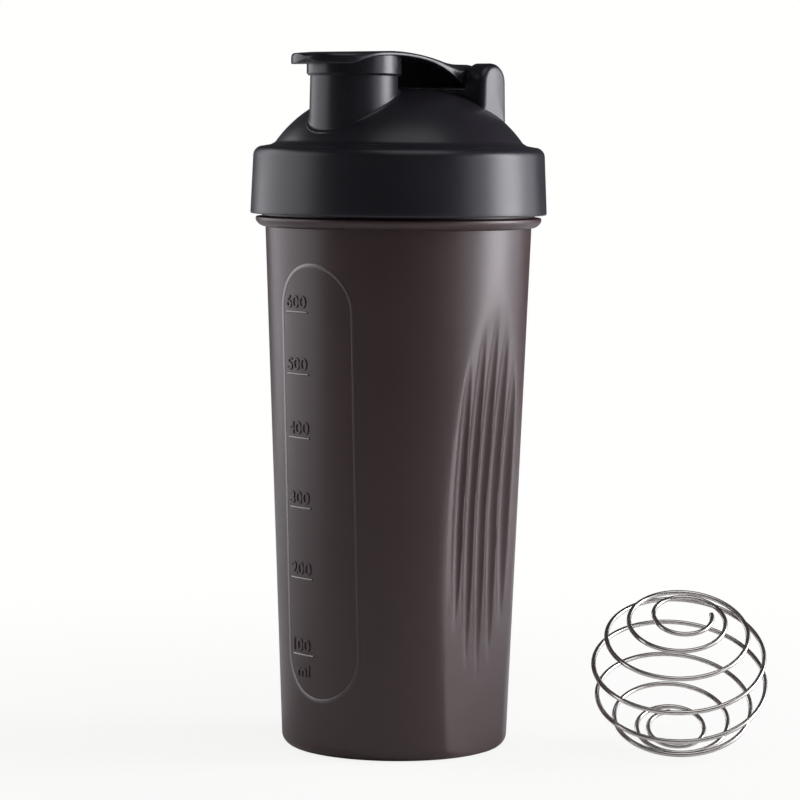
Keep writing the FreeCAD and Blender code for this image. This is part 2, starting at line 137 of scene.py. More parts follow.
# ---- lid ----
LID_LOW_Z = lid_low.z
LID_LOW_R = 48.0
LID_SHOULDER_Z = 191.7
LID_SHOULDER_R = 47.2
LID_TOP_R = 44.0
LID_TOP_ROUND = 3.2
LID_BORE_R = 45.8
LID_CEILING_Z = 192.8
LID_EDGE_ROUND = 0.5
LID_CORNER_RISE = 0.2      # the corner's centre above the shoulder
LID_COLUMNS = 256
DOME_FOOT = (40.45, 195.7)
DOME_CENTRE = (6.5, 172.8)
DOME_R = 41.0
LID_WALL = 2.0
LIP_R = (40.0, 41.5)
LIP_LOW_Z = 188.6
LIP_EDGE = 0.4
SEAL_WIDTH = 3.6
SEAL_EDGE = 0.35

# ---- spout ----
SPOUT_Y = -22.6
SPOUT_BASE_R = 14.35
SPOUT_TOP_R = 13.9
SPOUT_BORE_R = 11.75
SPOUT_LOW_Z = 196.0
SPOUT_TOP_Z = 220.5
SPOUT_FILLET = 1.1
SPOUT_RIM_ROUND = 0.6
SPOUT_COLUMNS = 128

# ---- hinge ----
PIVOT_Y = 16.6
PIVOT_Z = 215.8
EAR_R = 6.3
EAR_X = (18.8, 26.3)
EAR_LOW_Z = 200.0
EAR_ROUND = 2.2
EAR_FOOT_FLARE = 0.5
CRADLE_LOW_Z = 205.0
CRADLE_TOP = ((11.5, 213.6), (15.5, 212.75))
TRUNNION_R = 2.0
TRUNNION_END_X = cap_high.x
SOCKET_R = 2.06
SOCKET_END_X = 21.6
HINGE_COLUMNS = 48

# ---- flip cap ----
CAP_TOP_LINE = ((-46.2, 224.2), (-40.0, 224.4), (-32.0, 224.8), (-20.0, 225.25), (-12.0, 224.7),
                (-6.8, 224.0), (-1.8, 223.1), (3.3, 222.1), (8.0, 221.75), (16.6, 221.7))
CAP_UNDER_LINE = ((-46.2, 221.4), (-42.0, 221.0), (-38.0, 221.0), (-34.5, 222.2), (-31.0, 223.2),
                  (-24.0, 223.75), (-16.0, 223.6), (-9.0, 222.85), (-2.6, 221.4), (4.0, 218.7),
                  (8.5, 216.1), (11.0, 214.3))
CAP_BARREL_R = 2.8
CAP_TIP_Y = cap_low.y
CAP_TAB_Y = -24.0          # the sides end here and the round tab begins
CAP_TAB_HALF_WIDTH = 16.0
CAP_TAB_POWER = 2.35       # how square the tab's front is
CAP_TAB_FULLNESS = 0.98
CAP_SIDES = ((-24.0, 16.0), (5.0, 18.1), (16.6, 18.5))
CAP_TIP_START = 0.02
CAP_TIP_LENGTH = 9.0
CAP_TOP_ROUND = ((-46.2, 1.3), (-36.0, 1.5), (-12.0, 1.6), (-4.0, 2.0), (5.0, 3.2), (16.6, 4.0))
CAP_LOW_ROUND = 0.5
CAP_FLAT_POINTS = 17
SKIRT_R = (14.3, 15.1)
SKIRT_LOW_Z = 217.5
SKIRT_BEVEL = (0.5, 0.7)
PLUG_OUTER_R = (11.0, 11.35)
PLUG_INNER_R = 9.8
PLUG_LOW_Z = 216.9
PLUG_BEVEL = (0.4, 0.6)
RING_EDGE = 0.12
CAP_RINGS_TOP_Z = 223.8
DISH_DEPTH = 0.35
DISH_MIDDLE_Y = -36.5
DISH_HALF_SIZE = 7.0

# ---- whisk ball ----
WIRE_R = 0.75
WIRE_COLUMNS = 14
WIRE_END = ((-0.55, 0.45), (-0.3, 0.8))   # each end's rounding: place along the wire, share of its radius
BALL_R = 28.1
BALL_LEAN = 28.5
BALL_LEAN_TOWARDS = -50.0
BALL_START = 50.0
BALL_TOP_LOOP = 1.0
BALL_SPIRAL = 13.0
BALL_HALF_TURNS = 15.5
BALL_END_ANGLE = 19.0
BALL_CROWDING = 0.2
BALL_FLATNESS = 0.93
BALL_END_PRESS = 0.09


# ---------------------------------------------------------------- mesh helpers
def make_object(name, points, faces, sharp_angle=35.0):
    """A smooth-shaded mesh object from points in millimetres."""
    mesh = bpy.data.meshes.new(name)
    mesh.from_pydata([tuple(p) for p in np.asarray(points) * MM], [], faces)
    mesh.validate()
    mesh.shade_smooth()
    mesh.set_sharp_from_angle(angle=math.radians(sharp_angle))
    obj = bpy.data.objects.new(name, mesh)
    bpy.context.scene.collection.objects.link(obj)
    return obj


def shell(name, rings, sharp_angle=35.0, close_ends=True):
    """A closed surface through rings of points, each ring closed on itself.
    Each end is closed by a fan to the middle of its ring, or else the last ring joins the first."""
    rings = np.asarray(rings, float)
    rows, cols = rings.shape[:2]
    points = rings.reshape(-1, 3)
    faces = []
    last = rows - 1 if close_ends else rows
    for i in range(last):
        j = (i + 1) % rows
        for k in range(cols):
            m = (k + 1) % cols
            faces.append((i * cols + k, i * cols + m, j * cols + m, j * cols + k))
    if close_ends:
        start, end = len(points), len(points) + 1
        points = np.vstack([points, rings[0].mean(0), rings[-1].mean(0)])
        for k in range(cols):
            m = (k + 1) % cols
            faces.append((start, m, k))
            faces.append((end, (rows - 1) * cols + k, (rows - 1) * cols + m))
    return make_object(name, points, faces, sharp_angle)


def arc(centre, radius, start, end, steps):
    """Points on an arc in the (radius, height) plane, angles in degrees, both ends included."""
    angles = np.radians(np.linspace(start, end, steps))
    return [(centre[0] + radius * math.cos(a), centre[1] + radius * math.sin(a)) for a in angles]


def run(start, end, steps):
    """Points on a straight run, its end included and its start left out."""
    t = np.linspace(0, 1, steps + 1)[1:]
    return [(start[0] + (end[0] - start[0]) * s, start[1] + (end[1] - start[1]) * s) for s in t]


def lathe(profile, columns=192, centre_y=0.0, radius_at=None):
    """Rings for shell() from a (radius, height) profile. radius_at may reshape each ring."""
    angles = np.linspace(0, 2 * math.pi, columns, endpoint=False) if np.isscalar(columns) else columns
    rings = []
    for r, z in profile:
        ring_r = np.full(len(angles), r) if radius_at is None else radius_at(r, z, angles)
        ring_r = np.maximum(ring_r, 0.0)
        rings.append(np.column_stack([ring_r * np.cos(angles), centre_y + ring_r * np.sin(angles),
                                      np.full(len(angles), z)]))
    return rings


def combine(target, tool, operation):
    """Union or difference of two closed meshes. The tool is used up."""
    modifier = target.modifiers.new(operation, "BOOLEAN")
    modifier.operation = operation
    modifier.object = tool
    modifier.solver = "EXACT"
    evaluated = target.evaluated_get(bpy.context.evaluated_depsgraph_get())
    mesh = bpy.data.meshes.new_from_object(evaluated)
    target.modifiers.clear()
    target.data = mesh
    bpy.data.objects.remove(tool)
    return target


def finish_shading(obj, sharp_angle=32.0):
    obj.data.shade_smooth()
    obj.data.set_sharp_from_angle(angle=math.radians(sharp_angle))
    obj.data.materials.clear()


def smooth_line(points, at):
    """A smooth curve through a few (position, value) points, read at the given positions."""
    xs = np.array([p[0] for p in points])
    ys = np.array([p[1] for p in points])
    slopes = np.gradient(ys, xs)
    at = np.clip(at, xs[0], xs[-1])
    i = np.clip(np.searchsorted(xs, at) - 1, 0, len(xs) - 2)
    h = xs[i + 1] - xs[i]
    t = (at - xs[i]) / h
    return ((1 + 2 * t) * (1 - t) ** 2 * ys[i] + t * (1 - t) ** 2 * h * slopes[i]
            + t * t * (3 - 2 * t) * ys[i + 1] + t * t * (t - 1) * h * slopes[i + 1])


# ---------------------------------------------------------------- cup
def cup_radius(z):
    return CUP_BASE_R + CUP_TAPER * z


def groove_depth(y, z):
    """How far the grooves sink below the grip's facet."""
    depth = np.zeros_like(y)
    for i in range(-GROOVES_EACH_SIDE, GROOVES_EACH_SIDE + 1):
        middle = i * GROOVE_PITCH
        half_length = GROOVE_HALF_LENGTH * math.sqrt(1 - (middle / GROOVE_LENS_Y) ** 2)
        floor = GROOVE_DEPTH * (1 - ((z - GROOVE_MID_Z) / half_length) ** 2)
        section = floor - (y - middle) ** 2 / (2 * GROOVE_SECTION_R)
        depth += 0.5 * (section + np.sqrt(section ** 2 + GROOVE_SOFTNESS ** 2)) * (floor > -1.0)
    return depth


def thread_height(z, angles, start_z):
    """Height of a right-handed helical ridge, faded out at its two ends."""
    height = np.zeros_like(angles)
    turn = (angles % (2 * math.pi)) / (2 * math.pi)
    for k in range(2):
        t = turn + k
        fade = np.clip(np.minimum(t, THREAD_TURNS - t) / THREAD_FADE, 0, 1)
        off = np.abs(z - (start_z + THREAD_PITCH * t))
        section = np.clip((THREAD_ROOT_HALF - off) / (THREAD_ROOT_HALF - THREAD_CREST_HALF), 0, 1)
        height = np.maximum(height, THREAD_DEPTH * section * fade)
    return height


def facet_x(z):
    """How far the grip's facet lies from the axis at this height."""
    share = max(z - GRIP_LOW_Z, 0.0) / (GRIP_TOP_Z - GRIP_LOW_Z)
    return GRIP_X + (GRIP_TOP_X - GRIP_X) * share ** GRIP_FLARE


def cup_ring(inset):
    """The radius of a cup ring with the grips shaped into it. inset is 0 outside, the wall inside."""
    def shaped(r, z, angles):
        side = np.maximum(np.abs(np.cos(angles)), 1e-3)
        limit = (facet_x(z) - inset) / side
        plain = np.full_like(angles, r)
        mixed = 0.5 * (plain + limit - np.sqrt((plain - limit) ** 2 + GRIP_EDGE_SOFTNESS ** 2))
        on_facet = np.clip((plain - limit + GROOVE_ONSET) / (2 * GROOVE_ONSET), 0, 1)
        return mixed - groove_depth(limit * np.sin(angles), z) * on_facet
    return shaped


def cup_columns():
    """Angles round the cup, close together over the grips."""
    grip = np.arange(-GRIP_HALF_ANGLE, GRIP_HALF_ANGLE, GRIP_COLUMN_STEP)
    plain = np.arange(GRIP_HALF_ANGLE, 180.0 - GRIP_HALF_ANGLE, PLAIN_COLUMN_STEP)
    return np.radians(np.concatenate([grip, plain, grip + 180.0, plain + 180.0]))


def make_cup():
    angles = cup_columns()
    foot_r = cup_radius(FOOT_ROUND) - FOOT_ROUND
    recess = [(FOOT_RING_R * s, FOOT_RECESS) for s in FLAT_SHARES]
    recess += arc((FOOT_RING_R - RECESS_ROUND, FOOT_RECESS - RECESS_ROUND), RECESS_ROUND, 90, 0, 5)
    recess += arc((FOOT_RING_R + FOOT_RING_EDGE, FOOT_RING_EDGE), FOOT_RING_EDGE, 180, 270, 4)
    recess += run((FOOT_RING_R + FOOT_RING_EDGE, 0.0), (foot_r, 0.0), 2)
    under = lathe(recess, angles)
    rise = arc((foot_r, FOOT_ROUND), FOOT_ROUND, -80, 0, 8)
    wall_top = (cup_radius(BEAD_LOW_Z), BEAD_LOW_Z)
    rise += run((cup_radius(FOOT_ROUND), FOOT_ROUND), wall_top, WALL_ROWS)
    outside = lathe(rise, angles, radius_at=cup_ring(0.0))
    bead = list(BEAD_UNDERSIDE) + [(BEAD_R, BEAD_SIDE_Z)]
    bead += arc((BEAD_R - BEAD_EDGE, BEAD_TOP_Z - BEAD_EDGE), BEAD_EDGE, 0, 90, 5)
    neck_foot_z = BEAD_TOP_Z + NECK_FOOT_ROUND
    bead += arc((NECK_R + NECK_FOOT_ROUND, neck_foot_z), NECK_FOOT_ROUND, 270, 180, 4)
    collar = lathe(bead, angles)
    neck_low, neck_high = BEAD_TOP_Z + 0.7, NECK_TOP_Z - 0.8
    neck = run((NECK_R, neck_foot_z), (NECK_R, neck_high), int((neck_high - neck_low) / NECK_STEP))
    threaded = lathe(neck, angles, radius_at=lambda r, z, a: r + thread_height(z, a, THREAD_START_Z))
    mouth_r = cup_radius(NECK_TOP_Z) - CUP_WALL
    rim_z = NECK_TOP_Z - RIM_ROUND
    rim = arc((NECK_R - RIM_ROUND, rim_z), RIM_ROUND, 20, 90, 4)
    rim += arc((mouth_r + RIM_ROUND, rim_z), RIM_ROUND, 90, 180, 5)
    top = lathe(rim, angles)
    corner_z = CUP_FLOOR_Z + INSIDE_ROUND
    corner_r = cup_radius(corner_z) - CUP_WALL - INSIDE_ROUND
    fall = run((mouth_r, rim_z), (cup_radius(corner_z) - CUP_WALL, corner_z), INSIDE_ROWS)
    fall += arc((corner_r, corner_z), INSIDE_ROUND, 0, -90, 7)[1:]
    inside = lathe(fall, angles, radius_at=cup_ring(CUP_WALL))
    floor = lathe([(corner_r * s, CUP_FLOOR_Z) for s in FLAT_SHARES[::-1]], angles)
    rings = under + outside + collar + threaded + top + inside + floor
    return shell("cup_shell", rings, sharp_angle=50.0)


# ---------------------------------------------------------------- measuring scale
def on_cup(s, z, rise):
    """A point on the scale's side of the cup: s along the surface towards +X, rise above it."""
    r = cup_radius(z)
    angle = s / r
    return ((r + rise) * math.sin(angle), -(r + rise) * math.cos(angle), z)


def raised_strip(name, path, closed, rise, width):
    """A low half-round ridge along a path of (s, z) points on the cup."""
    path = np.array(path, float)
    if closed:
        heading = np.roll(path, -1, 0) - np.roll(path, 1, 0)
    else:
        heading = np.gradient(path, axis=0)
    heading /= np.linalg.norm(heading, axis=1)[:, None]
    across = np.column_stack([-heading[:, 1], heading[:, 0]])
    rings = []
    for point, side in zip(path, across):
        ring = []
        for offset, height in STRIP_SECTION:
            s, z = point + side * offset * width
            ring.append(on_cup(s, z, height * rise))
        rings.append(ring)
    return shell(name, rings, 60.0, close_ends=not closed)


def stadium_path():
    half = PANEL_HALF_WIDTH - PANEL_EDGE_WIDTH / 2
    low, high = PANEL_Z[0] + PANEL_HALF_WIDTH, PANEL_Z[1] - PANEL_HALF_WIDTH
    path = [(half * math.cos(a), high + half * math.sin(a)) for a in np.linspace(0, math.pi, 40)]
    path += [(-half, z) for z in np.linspace(high, low, 60)[1:-1]]
    path += [(-half * math.cos(a), low - half * math.sin(a)) for a in np.linspace(0, math.pi, 40)]
    path += [(half, z) for z in np.linspace(low, high, 60)[1:-1]]
    return path


def raised_text(name, words, left, base_z, height):
    """Generic figures from the built-in font, wrapped onto the cup."""
    curve = bpy.data.curves.new(name, "FONT")
    curve.body = words
    curve.size = height * MM / FONT_CAPITAL_SHARE
    curve.extrude = DIGIT_RISE * MM / 2
    curve.bevel_depth = DIGIT_BEVEL * MM
    curve.bevel_resolution = 1
    curve.resolution_u = 4
    source = bpy.data.objects.new(name + "_source", curve)
    bpy.context.scene.collection.objects.link(source)
    evaluated = source.evaluated_get(bpy.context.evaluated_depsgraph_get())
    mesh = bpy.data.meshes.new_from_object(evaluated)
    bpy.data.objects.remove(source)
    start = min(v.co.x for v in mesh.vertices)
    for vertex in mesh.vertices:
        s = left + DIGIT_STRETCH * (vertex.co.x - start) / MM
        rise = vertex.co.z / MM + DIGIT_RISE / 2 - DIGIT_SINK
        vertex.co = Vector(on_cup(s, base_z + vertex.co.y / MM, rise)) * MM
    mesh.name = name
    obj = bpy.data.objects.new(name, mesh)
    bpy.context.scene.collection.objects.link(obj)
    finish_shading(obj, 40.0)
    return obj


def make_scale():
    pieces = [raised_strip("scale_panel_edge", stadium_path(), True, PANEL_EDGE_RISE, PANEL_EDGE_WIDTH)]
    for volume, z in MARK_Z.items():
        line = [(s, z) for s in np.linspace(MARK_SPAN[0], MARK_SPAN[1], 16)]
        pieces.append(raised_strip("scale_line_%d" % volume, line, False, MARK_RISE, MARK_WIDTH))
        name = "scale_number_%d" % volume
        pieces.append(raised_text(name, str(volume), MARK_SPAN[0], z + DIGIT_GAP, DIGIT_HEIGHT))
    across, up = UNIT_PLACE
    pieces.append(raised_text("scale_unit", "ml", MARK_SPAN[0] + across, MARK_Z[100] + up, DIGIT_HEIGHT))
    return pieces


# ---------------------------------------------------------------- lid
def dome_height(r):
    return DOME_CENTRE[1] + np.sqrt(np.maximum(DOME_R ** 2 - np.maximum(r - DOME_CENTRE[0], 0) ** 2, 0))


def lid_body():
    """The solid outside of collar and dome."""
    low_r = LID_LOW_R - LID_EDGE_ROUND
    profile = [(low_r * s, LID_LOW_Z) for s in (0.02, 0.5, 0.9, 1.0)]
    profile += arc((low_r, LID_LOW_Z + LID_EDGE_ROUND), LID_EDGE_ROUND, -70, 0, 4)
    profile += run((LID_LOW_R, LID_LOW_Z + LID_EDGE_ROUND), (LID_SHOULDER_R, LID_SHOULDER_Z), 16)
    round_z = LID_SHOULDER_Z + LID_CORNER_RISE
    profile += arc((LID_TOP_R, round_z), LID_TOP_ROUND, 4, 88, 9)
    profile += run((LID_TOP_R, round_z + LID_TOP_ROUND), (DOME_FOOT[0] + 0.9, DOME_FOOT[1] - 0.1), 3)
    start = math.degrees(math.asin((DOME_FOOT[1] - DOME_CENTRE[1]) / DOME_R)) + 1.2
    profile += arc(DOME_CENTRE, DOME_R, start, 90, 60)
    profile += [(DOME_CENTRE[0] * s, DOME_CENTRE[1] + DOME_R) for s in (0.7, 0.4, 0.05)]
    return shell("lid_shell", lathe(profile, LID_COLUMNS))


def lid_room():
    """The space inside the lid, with its thread and its sealing lip left standing."""
    inner_r = DOME_R - LID_WALL
    edge = LID_BORE_R + 0.5
    below = LID_LOW_Z - 1.0
    profile = [(edge * s, below) for s in (0.02, 0.5, 0.9, 1.0)]
    profile += [(edge, LID_LOW_Z), (LID_BORE_R + 0.15, LID_LOW_Z + 0.35)]
    plain = lathe(profile, LID_COLUMNS)
    wall = run((LID_BORE_R, LID_LOW_Z + 0.9), (LID_BORE_R, LID_CEILING_Z - 0.4), 62)
    start_z = THREAD_START_Z - LID_THREAD_DROP
    threaded = lathe(wall, LID_COLUMNS, radius_at=lambda r, z, a: r - thread_height(z, a, start_z))
    angle = math.degrees(math.asin((LID_CEILING_Z - DOME_CENTRE[1]) / inner_r))
    lip_inner, lip_outer = LIP_R
    rest = [(LID_BORE_R - 0.1, LID_CEILING_Z), (lip_outer + 0.2, LID_CEILING_Z),
            (lip_outer, LID_CEILING_Z - 0.3), (lip_outer, LIP_LOW_Z + LIP_EDGE),
            (lip_outer - LIP_EDGE, LIP_LOW_Z), (lip_inner + LIP_EDGE, LIP_LOW_Z),
            (lip_inner, LIP_LOW_Z + LIP_EDGE), (lip_inner, LID_CEILING_Z - 0.4)]
    rest += arc(DOME_CENTRE, inner_r, angle + 1.0, 90, 40)
    rest += [(DOME_CENTRE[0] * s, DOME_CENTRE[1] + inner_r) for s in (0.6, 0.05)]
    return shell("lid_room", plain + threaded + lathe(rest, LID_COLUMNS))


def spout_body():
    """The spout's solid outside, flared where it meets the dome."""
    angles = np.linspace(0, 2 * math.pi, SPOUT_COLUMNS, endpoint=False)
    reach = SPOUT_BASE_R + SPOUT_FILLET * 0.6
    foot = dome_height(np.hypot(reach * np.cos(angles), SPOUT_Y + reach * np.sin(angles)))
    heights = np.concatenate([[0.0], np.linspace(2.0, SPOUT_TOP_Z - SPOUT_RIM_ROUND - SPOUT_LOW_Z, 60)])
    rings = []
    for h in heights:
        z = SPOUT_LOW_Z + h
        wall = SPOUT_BASE_R + (SPOUT_TOP_R - SPOUT_BASE_R) * (z - SPOUT_LOW_Z) / (SPOUT_TOP_Z - SPOUT_LOW_Z)
        near = np.clip(1 - (z - foot) / SPOUT_FILLET, 0, 1)
        ring_r = wall + SPOUT_FILLET * (1 - np.sqrt(1 - near ** 2))
        x, y = ring_r * np.cos(angles), SPOUT_Y + ring_r * np.sin(angles)
        rings.append(np.column_stack([x, y, np.full(SPOUT_COLUMNS, z)]))
    rim_centre = (SPOUT_TOP_R - SPOUT_RIM_ROUND, SPOUT_TOP_Z - SPOUT_RIM_ROUND)
    rim = arc(rim_centre, SPOUT_RIM_ROUND, 15, 90, 6)
    rim += [(8.0, SPOUT_TOP_Z), (0.5, SPOUT_TOP_Z)]
    return shell("spout_body", rings + lathe(rim, SPOUT_COLUMNS, SPOUT_Y))


def spout_bore():
    flare = SPOUT_RIM_ROUND
    profile = [(0.5, LID_CEILING_Z + 1), (SPOUT_BORE_R * 0.6, LID_CEILING_Z + 1)]
    profile += run((SPOUT_BORE_R, LID_CEILING_Z + 1), (SPOUT_BORE_R, SPOUT_TOP_Z - flare), 24)
    profile += arc((SPOUT_BORE_R + flare, SPOUT_TOP_Z - flare), flare, 165, 92, 5)
    profile += [(SPOUT_BORE_R + flare, SPOUT_TOP_Z + 1), (0.5, SPOUT_TOP_Z + 1)]
    return shell("spout_bore", lathe(profile, SPOUT_COLUMNS, SPOUT_Y))


def ear(side):
    """A hinge ear: a slab with a round top and rounded outer edges, a little wider at its foot."""
    outline = [(PIVOT_Y - EAR_R, z) for z in np.linspace(EAR_LOW_Z, PIVOT_Z, 10)]
    outline += [(PIVOT_Y - EAR_R * math.cos(a), PIVOT_Z + EAR_R * math.sin(a))
                for a in np.linspace(0, math.pi, 29)[1:]]
    outline += [(PIVOT_Y + EAR_R, z) for z in np.linspace(PIVOT_Z, EAR_LOW_Z, 10)[1:]]
    outline = np.array(outline)
    middle = np.array([PIVOT_Y, PIVOT_Z])
    inner_x, outer_x = EAR_X
    stations = [(inner_x, 0.3), (inner_x + 0.3, 0.0)]
    stations += [(outer_x - EAR_ROUND, 0.0)]
    for a in np.radians([22.5, 45, 67.5, 90]):
        stations.append((outer_x - EAR_ROUND + EAR_ROUND * math.sin(a), EAR_ROUND * (1 - math.cos(a))))
    rings = []
    for x, inset in stations:
        ring = []
        for y, z in outline:
            offset = np.array([y - middle[0], max(z - middle[1], 0.0)])
            scale = (np.linalg.norm(offset) - inset) / np.linalg.norm(offset)
            lower = min(z, middle[1])
            spread = 1 + EAR_FOOT_FLARE / EAR_R * (middle[1] - lower) / (PIVOT_Z - EAR_LOW_Z)
            ring.append((side * x, middle[0] + offset[0] * scale * spread, lower + offset[1] * scale))
        rings.append(ring)
    if side < 0:
        rings = [ring[::-1] for ring in rings]
    return shell("ear", rings)


def rod(name, side, stations):
    """A closed rod along X about the pivot, through (x, radius) stations. side is +1 or -1."""
    angles = np.linspace(0, 2 * math.pi, HINGE_COLUMNS, endpoint=False)
    rings = []
    for x, r in stations:
        rings.append(np.column_stack([np.full(HINGE_COLUMNS, side * x), PIVOT_Y + r * np.cos(angles),
                                      PIVOT_Z + r * np.sin(angles)]))
    if side < 0:
        rings = [ring[::-1] for ring in rings]
    return shell(name, rings)


def socket(side):
    return rod("socket", side, [(EAR_X[0] - 1.0, SOCKET_R), (SOCKET_END_X, SOCKET_R)])


def cradle():
    """The rib under the cap's barrel, from one ear to the other."""
    (front_y, front_z), (back_y, back_z) = CRADLE_TOP
    section = [(front_y, CRADLE_LOW_Z), (front_y, front_z - 0.3), (front_y + 0.3, front_z),
               (back_y - 0.3, back_z + 0.06), (back_y, back_z - 0.25), (back_y, CRADLE_LOW_Z)]
    stations = np.linspace(-EAR_X[0] - 1.0, EAR_X[0] + 1.0, 24)
    return shell("cradle", [[(x, y, z) for y, z in section] for x in stations])


def make_lid():
    lid = lid_body()
    combine(lid, spout_body(), "UNION")
    combine(lid, cradle(), "UNION")
    for side in (1, -1):
        combine(lid, ear(side), "UNION")
    combine(lid, lid_room(), "DIFFERENCE")
    combine(lid, spout_bore(), "DIFFERENCE")
    for side in (1, -1):
        combine(lid, socket(side), "DIFFERENCE")
    finish_shading(lid)
    return lid


def make_seal():
    inner, outer = seal_high.x - SEAL_WIDTH, seal_high.x
    low, high = seal_low.z, seal_high.z
    edge = SEAL_EDGE
    profile = arc((outer - edge, low + edge), edge, -90, 0, 5)
    profile += arc((outer - edge, high - edge), edge, 0, 90, 5)
    profile += arc((inner + edge, high - edge), edge, 90, 180, 5)
    profile += arc((inner + edge, low + edge), edge, 180, 270, 5)
    return shell("seal_ring", lathe(profile, 192), 60.0, close_ends=False)


# ---------------------------------------------------------------- flip cap
def cap_half_width(y):
    """Half the plate's width: slightly tapering sides and a round thumb tab."""
    sides = np.interp(y, [p[0] for p in CAP_SIDES], [p[1] for p in CAP_SIDES])
    t = np.clip((y - CAP_TIP_Y) / (CAP_TAB_Y - CAP_TIP_Y), 0, 1)
    front = np.sqrt(np.clip(1 - (1 - t) ** CAP_TAB_POWER, 0, 1)) ** CAP_TAB_FULLNESS
    return np.where(y < CAP_TAB_Y, CAP_TAB_HALF_WIDTH * front, sides)


def cap_section(y):
    """One closed section across the plate and arm at y: a flat bar with round corners."""
    half = float(cap_half_width(np.array(y)))
    top_round = float(smooth_line(CAP_TOP_ROUND, np.array(y)))
    top = float(smooth_line(CAP_TOP_LINE, np.array(y)))
    under = float(smooth_line(CAP_UNDER_LINE, np.array(y)))
    back = y - PIVOT_Y
    if y > CAP_UNDER_LINE[-1][0]:
        share = (y - CAP_UNDER_LINE[-1][0]) / (PIVOT_Y - CAP_UNDER_LINE[-1][0])
        under += (PIVOT_Z - CAP_BARREL_R - under) * min(share, 1.0)
    if back > 0:
        drop = math.sqrt(max(1 - (back / CAP_BARREL_R) ** 2, 0.0))
        under = PIVOT_Z - CAP_BARREL_R * drop
        top = PIVOT_Z + (top - PIVOT_Z) * drop ** 0.75
    middle = (top + under) / 2
    from_tip = max(y - CAP_TIP_Y, 0.0)
    if from_tip < top_round:
        squeeze = max(math.sqrt(1 - (1 - from_tip / top_round) ** 2), 0.05)
        top = middle + (top - middle) * squeeze
        under = middle + (under - middle) * squeeze
    top_corner = min(top_round, 0.6 * (top - under), 0.48 * half)
    low_corner = min(CAP_LOW_ROUND, 0.3 * (top - under), 0.48 * half)
    section = []
    for sx, sz, start in ((1, 1, 90), (1, -1, 0), (-1, -1, -90), (-1, 1, -180)):
        corner = top_corner if sz > 0 else low_corner
        cx = sx * (half - corner)
        cz = (top if sz > 0 else under) - sz * corner
        for angle in np.linspace(start, start - 90, 6):
            a = math.radians(angle)
            section.append((cx + corner * math.cos(a), cz + corner * math.sin(a)))
        if (sx, sz) == (-1, 1):
            section += [(s * (half - corner), top) for s in np.linspace(-1, 1, CAP_FLAT_POINTS)[1:-1]]
        if (sx, sz) == (1, -1):
            section += [(-s * (half - corner), under) for s in np.linspace(-1, 1, CAP_FLAT_POINTS)[1:-1]]
    ring = []
    for x, z in section:
        bowl = math.exp(-(x / DISH_HALF_SIZE) ** 2 - ((y - DISH_MIDDLE_Y) / DISH_HALF_SIZE) ** 2)
        if z > middle:
            z -= DISH_DEPTH * bowl
        ring.append((x, y, z))
    return ring


def cap_plate():
    quarter = np.linspace(0, math.pi / 2, 26)
    tip_steps = CAP_TIP_Y + CAP_TIP_START + CAP_TIP_LENGTH * (1 - np.cos(quarter))
    middle_steps = np.linspace(tip_steps[-1], PIVOT_Y, 72)[1:]
    back_steps = PIVOT_Y + (CAP_BARREL_R - 0.01) * np.sin(np.linspace(0, math.pi / 2, 14))[1:]
    stations = np.concatenate([tip_steps, middle_steps, back_steps])
    return shell("flip_cap_shell", [cap_section(y) for y in stations])


def tube(name, outer_low, outer_top, inner, low, top, bevel):
    """A round ring open at both ends, its lower outer edge bevelled (inwards, upwards)."""
    inwards, upwards = bevel
    profile = arc((outer_low - inwards - RING_EDGE, low + RING_EDGE), RING_EDGE, -90, -20, 3)
    profile += run(profile[-1], (outer_low, low + upwards), 3)
    profile += run((outer_low, low + upwards), (outer_top, top), 8)
    profile += run((outer_top, top), (inner, top), 2)
    profile += run((inner, top), (inner, low + RING_EDGE), 8)
    profile += arc((inner + RING_EDGE, low + RING_EDGE), RING_EDGE, 180, 270, 4)[1:]
    return shell(name, lathe(profile, 144, SPOUT_Y), 35.0, close_ends=False)


def trunnion(side):
    end = TRUNNION_END_X
    return rod("trunnion", side, [(17.0, TRUNNION_R), (end - 0.4, TRUNNION_R), (end, TRUNNION_R - 0.4)])


def make_flip_cap():
    cap = cap_plate()
    skirt_inner, skirt_outer = SKIRT_R
    skirt = tube("skirt", skirt_outer, skirt_outer, skirt_inner, SKIRT_LOW_Z, CAP_RINGS_TOP_Z, SKIRT_BEVEL)
    plug_low, plug_high = PLUG_OUTER_R
    plug = tube("plug", plug_low, plug_high, PLUG_INNER_R, PLUG_LOW_Z, CAP_RINGS_TOP_Z, PLUG_BEVEL)
    combine(cap, skirt, "UNION")
    combine(cap, plug, "UNION")
    for side in (1, -1):
        combine(cap, trunnion(side), "UNION")
    finish_shading(cap)
    return cap


